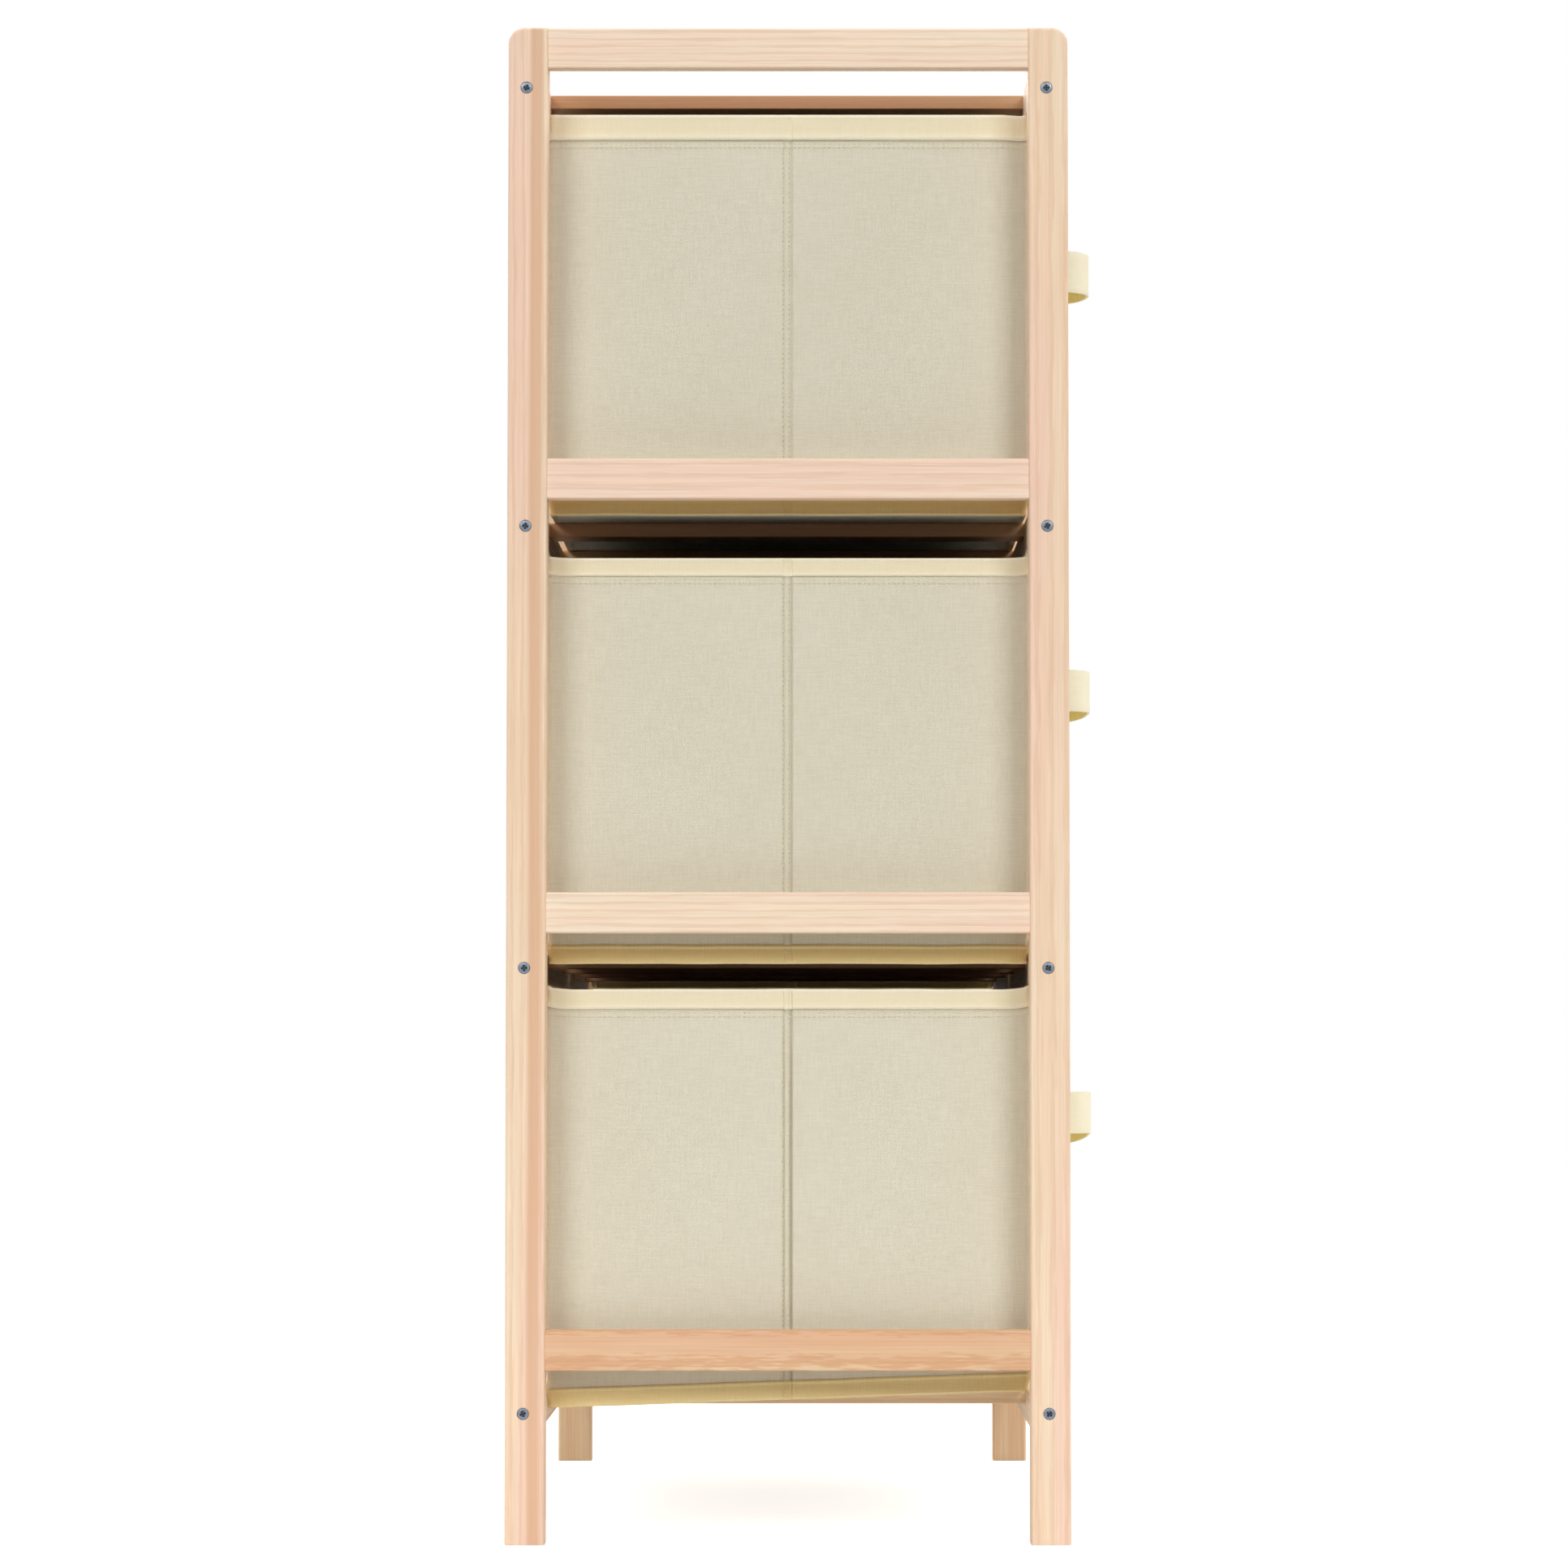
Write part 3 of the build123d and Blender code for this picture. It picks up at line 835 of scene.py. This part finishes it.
def ring_points(low, high, corner, z, pitch):
    """Points round a rounded rectangle at one height, each with its direction and outward side."""
    found = []
    sides = (
        ((low.x + corner, low.y), (high.x - corner, low.y), (0, -1)),
        ((high.x, low.y + corner), (high.x, high.y - corner), (1, 0)),
        ((high.x - corner, high.y), (low.x + corner, high.y), (0, 1)),
        ((low.x, high.y - corner), (low.x, low.y + corner), (-1, 0)),
    )
    for start, end, outward in sides:
        start, end, outward = Vector((*start, z)), Vector((*end, z)), Vector((*outward, 0))
        along = (end - start).normalized()
        count = int((end - start).length / pitch)
        found += [(start + along * pitch * (i + 0.5), along, outward) for i in range(count)]
    return found


def sew(places):
    """Stitches of thread lying on the cloth, each from its centre, direction and outward side."""
    bm = bmesh.new()
    shape = Matrix.Diagonal((STITCH_LENGTH / 2, STITCH_RADIUS, STITCH_RADIUS * 1.2, 1))
    # A few at a time, because a mesh that has grown large is slow to add to
    for first in range(0, len(places), STITCHES_AT_ONCE):
        few = bmesh.new()
        for centre, along, outward in places[first:first + STITCHES_AT_ONCE]:
            turn = Matrix((along, outward, along.cross(outward))).transposed().to_4x4()
            place = Matrix.Translation(centre)
            bmesh.ops.create_icosphere(few, subdivisions=1, radius=1.0, matrix=place @ turn @ shape)
        bmesh.ops.recalc_face_normals(few, faces=few.faces)
        mesh = bpy.data.meshes.new("few_stitches")
        few.to_mesh(mesh)
        few.free()
        bm.from_mesh(mesh)
        bpy.data.meshes.remove(mesh)
    return bm


def basket_stitches(basket, thread):
    """The rows of stitches under the rim and along the tucks."""
    places = []
    for below in RIM_STITCH_ROWS:
        z = basket.seam - below
        for point, along, outward in ring_points(basket.low, basket.high, CORNER, z, STITCH_PITCH):
            places.append((basket.drape(point) + outward * STITCH_PROUD, along, outward))
    count = int((basket.seam - basket.low.z - HEM_HEIGHT) / STITCH_PITCH)
    for side in (-1, 1):
        outward = Vector((0, side, 0))
        for place in TUCK_STITCH_ROWS:
            x = basket.middle.x + place
            for number in range(count):
                z = basket.seam - (number + 0.6) * STITCH_PITCH
                point = basket.drape(Vector((x, basket.middle.y + side * basket.half.y, z)))
                places.append((point + outward * STITCH_PROUD, Vector((0, 0, 1)), outward))
    basket_piece("stitches", basket, sew(places), [thread])


def strap_handle(basket, strap, inner):
    """A strap that stands out from the front wall as a loop, its two ends sewn flat to the wall."""
    node_low, node_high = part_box(f"handle_{basket.name}")
    centre = (node_low + node_high) / 2
    tip = node_high.x - STRAP_THICKNESS / 2
    turn = Vector((tip - STRAP_HALF_WIDTH, centre.y, centre.z))
    wall = basket.drape(Vector((basket.high.x, centre.y, centre.z))).x + STRAP_THICKNESS
    bm = bmesh.new()
    corners = [turn + Vector((0, -STRAP_HALF_WIDTH, side * STRAP_WIDTH / 2)) for side in (-1, 1)]
    first = bm.edges.new([bm.verts.new(corner) for corner in corners])
    made = bmesh.ops.spin(bm, geom=[first, *first.verts], cent=turn, axis=(0, 0, 1),
                          angle=math.pi, steps=STRAP_BENDS, use_duplicate=False)
    last = next(g for g in made["geom_last"] if isinstance(g, bmesh.types.BMEdge))
    for end_edge, side in ((first, -1), (last, 1)):
        ends = [end_edge]
        back = Vector((wall + STRAP_TURN_LONG + STRAP_TURN_SHORT - turn.x, 0, 0))
        moves = [back / STRAP_STEPS] * STRAP_STEPS
        moves.append(Vector((-STRAP_TURN_LONG, side * STRAP_TURN_SHORT, 0)))
        moves.append(Vector((-STRAP_TURN_SHORT, side * STRAP_TURN_LONG, 0)))
        moves += [Vector((0, side * STRAP_TAB / STRAP_STEPS, 0))] * STRAP_STEPS
        for move in moves:
            verts, ends = drawn_out(bm, ends)
            bmesh.ops.translate(bm, vec=move, verts=verts)
    upright = [e for e in bm.edges if abs(e.verts[0].co.z - e.verts[1].co.z) > STRAP_WIDTH / 2]
    bmesh.ops.subdivide_edges(bm, edges=upright, cuts=STRAP_CUTS, use_grid_fill=True)
    for vert in bm.verts:
        far_side = smooth(-0.1, 1.0, (vert.co.y - centre.y) / STRAP_HALF_WIDTH)
        by_wall = 1 - smooth(wall, tip, vert.co.x)
        share = STRAP_TIP_DROP + (1 - STRAP_TIP_DROP) * by_wall
        vert.co.z -= STRAP_DROP[basket.row] * far_side * share
    bmesh.ops.recalc_face_normals(bm, faces=bm.faces)
    bm.normal_update()
    tip_face = max(bm.faces, key=lambda face: face.calc_center_median().x)
    if tip_face.normal.x < 0:
        bmesh.ops.reverse_faces(bm, faces=bm.faces)
    flat_pattern(bm)
    handle = basket_piece("strap", basket, bm, [strap, inner])
    # The inside of the loop takes the second material, the painted shade copy
    thicken(handle, STRAP_THICKNESS, inner_slot=1, offset=0.0)
    round_edges(handle, STRAP_ROUND)
    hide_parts(f"handle_{basket.name}")


def dress_basket(basket, finishes):
    """Everything that one basket shows."""
    basket_shell(basket, finishes["cloth"], finishes["lining"])
    rim_binding(basket, finishes["tape"])
    hem_binding(basket, finishes["hem"])
    basket_stitches(basket, finishes["thread"])
    strap_handle(basket, finishes["strap"], finishes["strap_inside"])
    wear_finish(f"base_board_{basket.name}", finishes["board"])


# Screws


def screw_centres(side):
    """The middle of each screw head of one side frame, in line with the long rails."""
    face_y = cad_high.y if side == "right" else cad_low.y
    places = []
    for end in ("back", "front"):
        for level in LEVELS:
            rail_low, rail_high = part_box(f"{end}_rail_{level}")
            middle = (rail_low + rail_high) / 2
            places.append(Vector((middle.x, face_y, middle.z)))
    return places


def one_screw(length):
    """A countersunk screw with a cross recess, its head up at the origin."""
    bm = bmesh.new()
    bmesh.ops.create_grid(bm, x_segments=3, y_segments=3, size=1.0)
    for vert in bm.verts:
        for axis in (0, 1):
            reach = DRIVE_ARM_LENGTH if abs(vert.co[axis]) > 0.5 else DRIVE_ARM_WIDTH
            vert.co[axis] = math.copysign(reach / 2, vert.co[axis])
    middles = [(face, face.calc_center_median()) for face in bm.faces]
    arms = [face for face, middle in middles if min(abs(middle.x), abs(middle.y)) < 0.1 * MM]
    square = [e for e in bm.edges if e.is_boundary]
    made = bmesh.ops.create_circle(bm, segments=HEAD_SIDES, radius=HEAD_FLAT_RADIUS)
    outline = [e for e in bm.edges if e.is_wire]
    bmesh.ops.translate(bm, vec=(0, 0, -HEAD_DOME / 2), verts=made["verts"])
    bmesh.ops.bridge_loops(bm, edges=square + outline)
    radius = HEAD_FLAT_RADIUS
    steps = (
        (HEAD_RADIUS, HEAD_DOME),
        (HEAD_RADIUS, HEAD_EDGE),
        (SHANK_RADIUS, HEAD_CONE_DEPTH),
        (SHANK_RADIUS, length - HEAD_CONE_DEPTH - POINT_LENGTH),
        (POINT_RADIUS, POINT_LENGTH),
    )
    for new_radius, fall in steps:
        verts, outline = drawn_out(bm, outline)
        bmesh.ops.scale(bm, vec=(new_radius / radius, new_radius / radius, 1), verts=verts)
        bmesh.ops.translate(bm, vec=(0, 0, -fall), verts=verts)
        radius = new_radius
    bmesh.ops.contextual_create(bm, geom=outline)
    sunk = bmesh.ops.extrude_face_region(bm, geom=arms)["geom"]
    recess_floor = [g for g in sunk if isinstance(g, bmesh.types.BMVert)]
    bmesh.ops.scale(bm, vec=(DRIVE_TAPER, DRIVE_TAPER, 1), verts=recess_floor)
    bmesh.ops.translate(bm, vec=(0, 0, -DRIVE_DEPTH), verts=recess_floor)
    bmesh.ops.recalc_face_normals(bm, faces=bm.faces)
    # The head's flat keeps the bright steel, and all else, the cross recess and the rim among it,
    # takes the darker one as painted shade
    for face in bm.faces:
        face.smooth = False
        reach = max(math.hypot(v.co.x, v.co.y) for v in face.verts)
        if reach < DRIVE_REACH or reach > (HEAD_RADIUS + HEAD_FLAT_RADIUS) / 2:
            face.material_index = 1
    mesh = bpy.data.meshes.new("one_screw")
    bm.to_mesh(mesh)
    bm.free()
    return mesh


def countersunk_screws(side, steel, recess):
    """The eight screws of one side frame, each turned its own way, just below the wood's face."""
    low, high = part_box(f"{side}_screws")
    screw = one_screw(high.y - low.y - HEAD_SUNK)
    inward = -1 if side == "right" else 1
    bm = bmesh.new()
    for number, centre in enumerate(screw_centres(side)):
        earlier = set(bm.verts)
        bm.from_mesh(screw)
        turn = Matrix.Rotation(FIRST_SCREW_TURN + number * NEXT_SCREW_TURN, 4, "Z")
        stand = Matrix.Rotation(math.radians(90) * inward, 4, "X")
        place = Matrix.Translation(centre + Vector((0, inward * HEAD_SUNK, 0)))
        new_verts = [v for v in bm.verts if v not in earlier]
        bmesh.ops.transform(bm, matrix=place @ stand @ turn, verts=new_verts)
    bpy.data.meshes.remove(screw)
    screws = make_piece(f"screws_{side}", bm, [steel, recess], "frame")
    round_edges(screws, HEAD_ROUND)
    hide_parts(f"{side}_screws")


# Studio


def white_floor(name, near_colour, far_colour):
    """A floor that looks white to the camera and takes the object's shadow.

    It is darker further off, so that it doesn't light the shade between the baskets.
    """
    finish = Finish(name)
    finish.plain({"Roughness": 1.0, "Specular IOR Level": 0.0})
    distance = finish.node("ShaderNodeVectorMath", operation="LENGTH")
    finish.link(finish.object_coordinates(), distance.inputs[0])
    distance = distance.outputs["Value"]
    away = finish.ramp(distance, *FLOOR_COLOUR_FADE)
    finish.patterned({"Base Color": finish.mix(away, near_colour, far_colour)})
    glow = finish.node("ShaderNodeEmission")
    strength = finish.ramp(distance, *FLOOR_GLOW_FADE, FLOOR_NEAR_GLOW, 1.0)
    strength = finish.maths("MULTIPLY", finish.seen_by_camera(), strength)
    finish.link(strength, glow.inputs["Strength"])
    both = finish.node("ShaderNodeAddShader")
    finish.link(finish.shader.outputs["BSDF"], both.inputs[0])
    finish.link(glow.outputs["Emission"], both.inputs[1])
    finish.link(both.outputs["Shader"], finish.output.inputs["Surface"])
    return finish.material


def make_floor():
    """A white floor, far wider than the view."""
    bm = bmesh.new()
    bmesh.ops.create_grid(bm, x_segments=1, y_segments=1, size=FLOOR_HALF_WIDTH)
    mesh = bpy.data.meshes.new("studio_floor")
    bm.to_mesh(mesh)
    bm.free()
    floor = bpy.data.objects.new("studio_floor", mesh)
    floor.location.z = -FLOOR_BELOW
    mesh.materials.append(white_floor("white_floor", seen(240, 239, 237), seen(112, 110, 107)))
    bpy.context.scene.collection.objects.link(floor)


def make_world():
    """Even, slightly warm light from all round, which shows as white behind the object."""
    world = bpy.data.worlds.new("studio")
    world.use_nodes = True
    bpy.context.scene.world = world
    nodes = Nodes(world.node_tree)
    background = world.node_tree.nodes["Background"]
    shown = nodes.seen_by_camera()
    nodes.link(nodes.ramp(shown, 0.0, 1.0, WORLD_LIGHT, 1.0), background.inputs["Strength"])
    tint = nodes.mix(shown, seen(255, 247, 234), (1.0, 1.0, 1.0, 1.0))
    nodes.link(tint, background.inputs["Color"])


def soft_light(name, place, size, power):
    """A large soft box turned towards the shelf."""
    light = bpy.data.lights.new(name, "AREA")
    light.shape = "SQUARE"
    light.size = size
    light.energy = power
    lamp = bpy.data.objects.new(name, light)
    lamp.location = place
    lamp.rotation_euler = (LIT_POINT - Vector(place)).to_track_quat("-Z", "Y").to_euler()
    bpy.context.scene.collection.objects.link(lamp)


def make_camera():
    """A camera at the end of the shelf, where the photograph's was, tilted up a little."""
    data = bpy.data.cameras.new("camera")
    data.sensor_width = 36.0
    data.lens = CAMERA_LENS
    data.shift_x, data.shift_y = CAMERA_SHIFT
    data.clip_end = 60.0
    camera = bpy.data.objects.new("camera", data)
    camera.location = CAMERA_PLACE
    camera.rotation_euler = (math.radians(90) + CAMERA_TILT, 0, 0)
    bpy.context.scene.collection.objects.link(camera)
    bpy.context.scene.camera = camera


def basket_finishes():
    """The materials of a basket's pieces."""
    shade = seen(150, 134, 100)
    return {
        "cloth": woven_cloth("beige_cloth", seen(229, 224, 205), seen(216, 210, 189), shade,
                             0.95 * MM),
        # The lining is made dark as painted shade for the inside of the baskets
        "lining": woven_cloth("lining_painted_shade", seen(66, 59, 48), seen(52, 47, 38), shade, 1.2 * MM,
                              slub=0.25, sheen=0.0),
        "tape": woven_cloth("cream_tape", seen(252, 246, 227), seen(245, 237, 211),
                            seen(228, 211, 160), 0.7 * MM),
        # The hem's tape is a yellower copy of the rim's tape, as painted shade
        "hem": woven_cloth("hem_tape_painted_shade", seen(252, 236, 184), seen(242, 221, 162),
                           seen(206, 168, 88), 0.7 * MM),
        "strap": woven_cloth("pale_strap", seen(255, 249, 226), seen(252, 241, 206), shade,
                             0.8 * MM),
        # The inside of the strap's loop is a yellower copy of the strap's cloth, as painted shade
        "strap_inside": woven_cloth("strap_inside_painted_shade", seen(255, 238, 166), seen(250, 226, 136),
                                    shade, 0.8 * MM),
        "thread": sewing_thread("pale_thread", seen(236, 228, 196), seen(206, 196, 158)),
        "board": covered_board("board_cover", seen(72, 65, 54), seen(56, 50, 41)),
    }


def main():
    bpy.context.scene.view_settings.view_transform = "Standard"
    make_world()
    make_floor()
    for name, (place, size, power) in SOFT_LIGHTS.items():
        soft_light(name, place, size, power)
    make_camera()
    dress_wood()
    steel = zinc("zinc_plate", seen(134, 146, 160), seen(92, 101, 116))
    dark_steel = zinc("zinc_in_shade", seen(66, 66, 70), seen(44, 44, 48))
    wear_finish("slat_screws", steel)
    for side in COLUMNS:
        countersunk_screws(side, steel, dark_steel)
    finishes = basket_finishes()
    for row in ROWS:
        for column in COLUMNS:
            dress_basket(Basket(row, column), finishes)


main()
